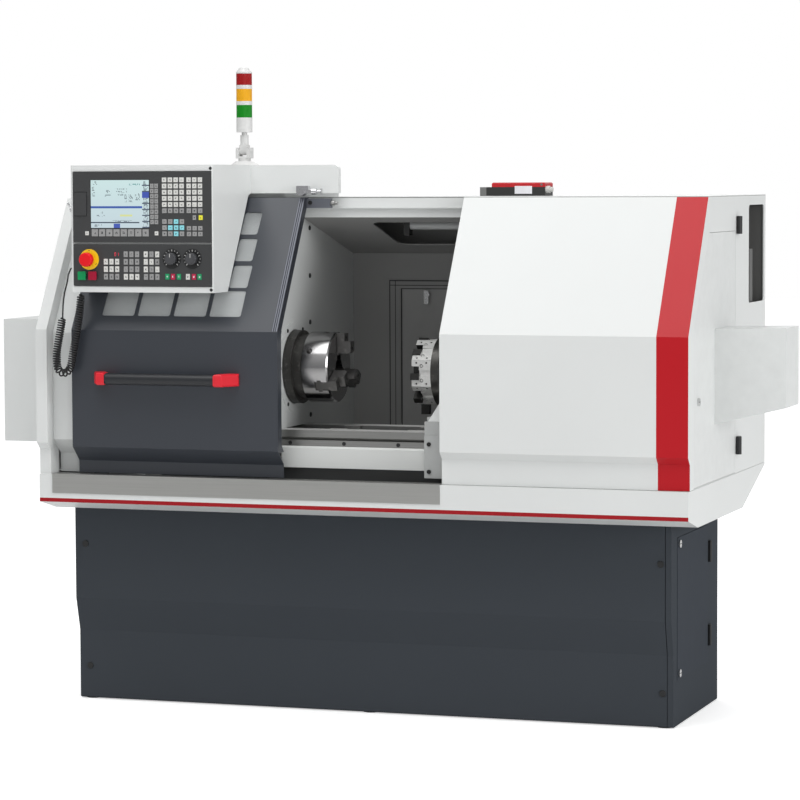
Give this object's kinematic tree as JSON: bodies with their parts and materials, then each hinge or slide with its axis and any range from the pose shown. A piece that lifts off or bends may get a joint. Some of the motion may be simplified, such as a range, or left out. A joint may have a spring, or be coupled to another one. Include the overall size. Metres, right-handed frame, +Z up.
{
  "type": "cnc turning lathe",
  "caption": "Flat-bed CNC turning lathe with sloped sheet-metal guards, sliding front door, control box, tool turret, signal tower and chip tray on a stand.",
  "frame": {"origin": "middle of the machine's footprint at floor level", "axes": "+X along the bed from headstock to tailstock, +Y from the operator's side to the rear, +Z up"},
  "size_m": [2.358, 1.03, 1.826],
  "materials": {
    "slate_paint": "satin powder coat",
    "white_paint": "satin powder coat",
    "grey_paint": "satin paint",
    "machined_steel": "ground and brushed",
    "dark_steel": "blackened",
    "black_fixing": "black oxide",
    "bright_chrome": "polished",
    "panel_black": "fine matt",
    "key_plastic": "matt membrane",
    "red_plastic": "gloss",
    "green_plastic": "gloss",
    "lens_plastic": "translucent",
    "clear_panel": "clear",
    "black_rubber": "matt",
    "cast_iron": "painted casting",
    "aluminium_trim": "anodised"
  },
  "bodies": {
    "machine": {"base_frame": "slate_paint", "base_front_panel": "slate_paint", "cover_screws": "black_fixing", "levelling_feet": "black_fixing", "chip_tray": "white_paint", "sill_plate": "machined_steel", "bed": "machined_steel", "bed_front_cover": "white_paint", "headstock": "cast_iron", "spindle_motor": "cast_iron", "drive_belt": "black_rubber", "left_end_wall": "white_paint", "left_front_panel": "white_paint", "end_plate": "grey_paint", "headstock_housing": "white_paint", "control_box": "white_paint", "upper_panel": "panel_black", "lower_panel": "panel_black", "panel_keys": "key_plastic", "right_cover": "white_paint", "right_end_wall": "white_paint", "roof_panel": "white_paint", "rear_wall": "white_paint", "top_beam": "grey_paint", "ceiling_panel": "grey_paint", "work_lamp": "grey_paint", "roof_unit": "dark_steel", "interlock_switch": "bright_chrome", "tower_foot": "grey_paint", "door_hinges": "black_fixing", "curly_cord": "black_rubber"},
    "guard_door": {"door_panel": "slate_paint", "door_glass": "clear_panel", "door_edge_profile": "aluminium_trim", "door_bracket": "slate_paint", "door_handle": "slate_paint"},
    "chuck": {"spindle": "machined_steel", "chuck_back_plate": "dark_steel", "chuck_body": "machined_steel"},
    "chuck_jaw_1": {"jaw_1": "dark_steel"},
    "chuck_jaw_2": {"jaw_2": "dark_steel"},
    "chuck_jaw_3": {"jaw_3": "dark_steel"},
    "drive_motor": {"motor_pulley": "dark_steel"},
    "carriage": {"saddle": "grey_paint"},
    "cross_slide": {"cross_slide": "machined_steel"},
    "turret": {"turret_disc": "dark_steel", "tool_blocks": "machined_steel"},
    "tailstock": {"tailstock": "cast_iron"},
    "quill": {"quill": "machined_steel"},
    "service_door": {"service_door": "white_paint"},
    "base_side_door": {"base_side_door": "slate_paint"},
    "rear_door": {"rear_door": "grey_paint"},
    "stop_mushroom": {"stop_mushroom": "red_plastic"},
    "green_button": {"green_button": "green_plastic"},
    "red_button": {"red_button": "red_plastic"},
    "override_knob_1": {"override_knob_1": "panel_black"},
    "override_knob_2": {"override_knob_2": "panel_black"},
    "usb_cover": {"usb_cover": "panel_black"},
    "signal_tower": {"tower_stem": "grey_paint", "tower_lenses": "lens_plastic"}
  },
  "joints": [
    {"name": "guard_door_slide", "type": "slide", "parent": "machine", "child": "guard_door", "axis": [1, 0, 0], "range_m": [0, 0.47]},
    {"name": "spindle_turn", "type": "hinge", "parent": "machine", "child": "chuck", "pos_m": [-0.134, -0.215, 0.975], "axis": [1, 0, 0], "continuous": true},
    {"name": "jaw_1_slide", "type": "slide", "parent": "chuck", "child": "chuck_jaw_1", "axis": [0, 0, 1], "range_m": [-0.01, 0.005]},
    {"name": "jaw_2_slide", "type": "slide", "parent": "chuck", "child": "chuck_jaw_2", "axis": [0, -0.866, -0.5], "range_m": [-0.01, 0.005]},
    {"name": "jaw_3_slide", "type": "slide", "parent": "chuck", "child": "chuck_jaw_3", "axis": [0, 0.866, -0.5], "range_m": [-0.01, 0.005]},
    {"name": "motor_turn", "type": "hinge", "parent": "machine", "child": "drive_motor", "pos_m": [-0.624, 0.04, 0.77], "axis": [1, 0, 0], "continuous": true},
    {"name": "carriage_slide", "type": "slide", "parent": "machine", "child": "carriage", "axis": [1, 0, 0], "range_m": [-0.1, 0.12]},
    {"name": "cross_slide_travel", "type": "slide", "parent": "carriage", "child": "cross_slide", "axis": [0, 1, 0], "range_m": [-0.11, 0.03]},
    {"name": "turret_index", "type": "hinge", "parent": "cross_slide", "child": "turret", "pos_m": [0.106, 0.02, 0.952], "axis": [1, 0, 0], "continuous": true},
    {"name": "tailstock_slide", "type": "slide", "parent": "machine", "child": "tailstock", "axis": [1, 0, 0], "range_m": [-0.1, 0.03]},
    {"name": "quill_travel", "type": "slide", "parent": "tailstock", "child": "quill", "axis": [-1, 0, 0], "range_m": [0, 0.08]},
    {"name": "service_door_hinge", "type": "hinge", "parent": "machine", "child": "service_door", "pos_m": [0.9875, 0.136, 1.015], "axis": [0, 0, 1], "range_deg": [0, 100]},
    {"name": "base_side_door_hinge", "type": "hinge", "parent": "machine", "child": "base_side_door", "pos_m": [0.9055, 0.136, 0.325], "axis": [0, 0, 1], "range_deg": [0, 110]},
    {"name": "rear_door_hinge", "type": "hinge", "parent": "machine", "child": "rear_door", "pos_m": [0.236, 0.295, 0.94], "axis": [0, 0, -1], "range_deg": [0, 100]},
    {"name": "stop_press", "type": "slide", "parent": "machine", "child": "stop_mushroom", "axis": [0, 1, 0], "range_m": [0, 0.006]},
    {"name": "green_press", "type": "slide", "parent": "machine", "child": "green_button", "axis": [0, 1, 0], "range_m": [0, 0.003], "stiffness_N_per_m": 400},
    {"name": "red_press", "type": "slide", "parent": "machine", "child": "red_button", "axis": [0, 1, 0], "range_m": [0, 0.003], "stiffness_N_per_m": 400},
    {"name": "override_1_turn", "type": "hinge", "parent": "machine", "child": "override_knob_1", "pos_m": [-0.4853, -0.49, 1.287], "axis": [0, 1, 0], "range_deg": [-135, 135]},
    {"name": "override_2_turn", "type": "hinge", "parent": "machine", "child": "override_knob_2", "pos_m": [-0.4235, -0.49, 1.287], "axis": [0, 1, 0], "range_deg": [-135, 135]},
    {"name": "usb_cover_hinge", "type": "hinge", "parent": "machine", "child": "usb_cover", "pos_m": [-0.7785, -0.484, 1.4395], "axis": [0, 0, -1], "range_deg": [0, 100]},
    {"name": "tower_fold", "type": "hinge", "parent": "machine", "child": "signal_tower", "pos_m": [-0.405, -0.13, 1.588], "axis": [-1, 0, 0], "range_deg": [0, 90]}
  ],
  "couplings": [
    {"joint": "jaw_2_slide", "follows": "jaw_1_slide", "ratio": 1},
    {"joint": "jaw_3_slide", "follows": "jaw_1_slide", "ratio": 1},
    {"joint": "motor_turn", "follows": "spindle_turn", "ratio": 1.5}
  ]
}
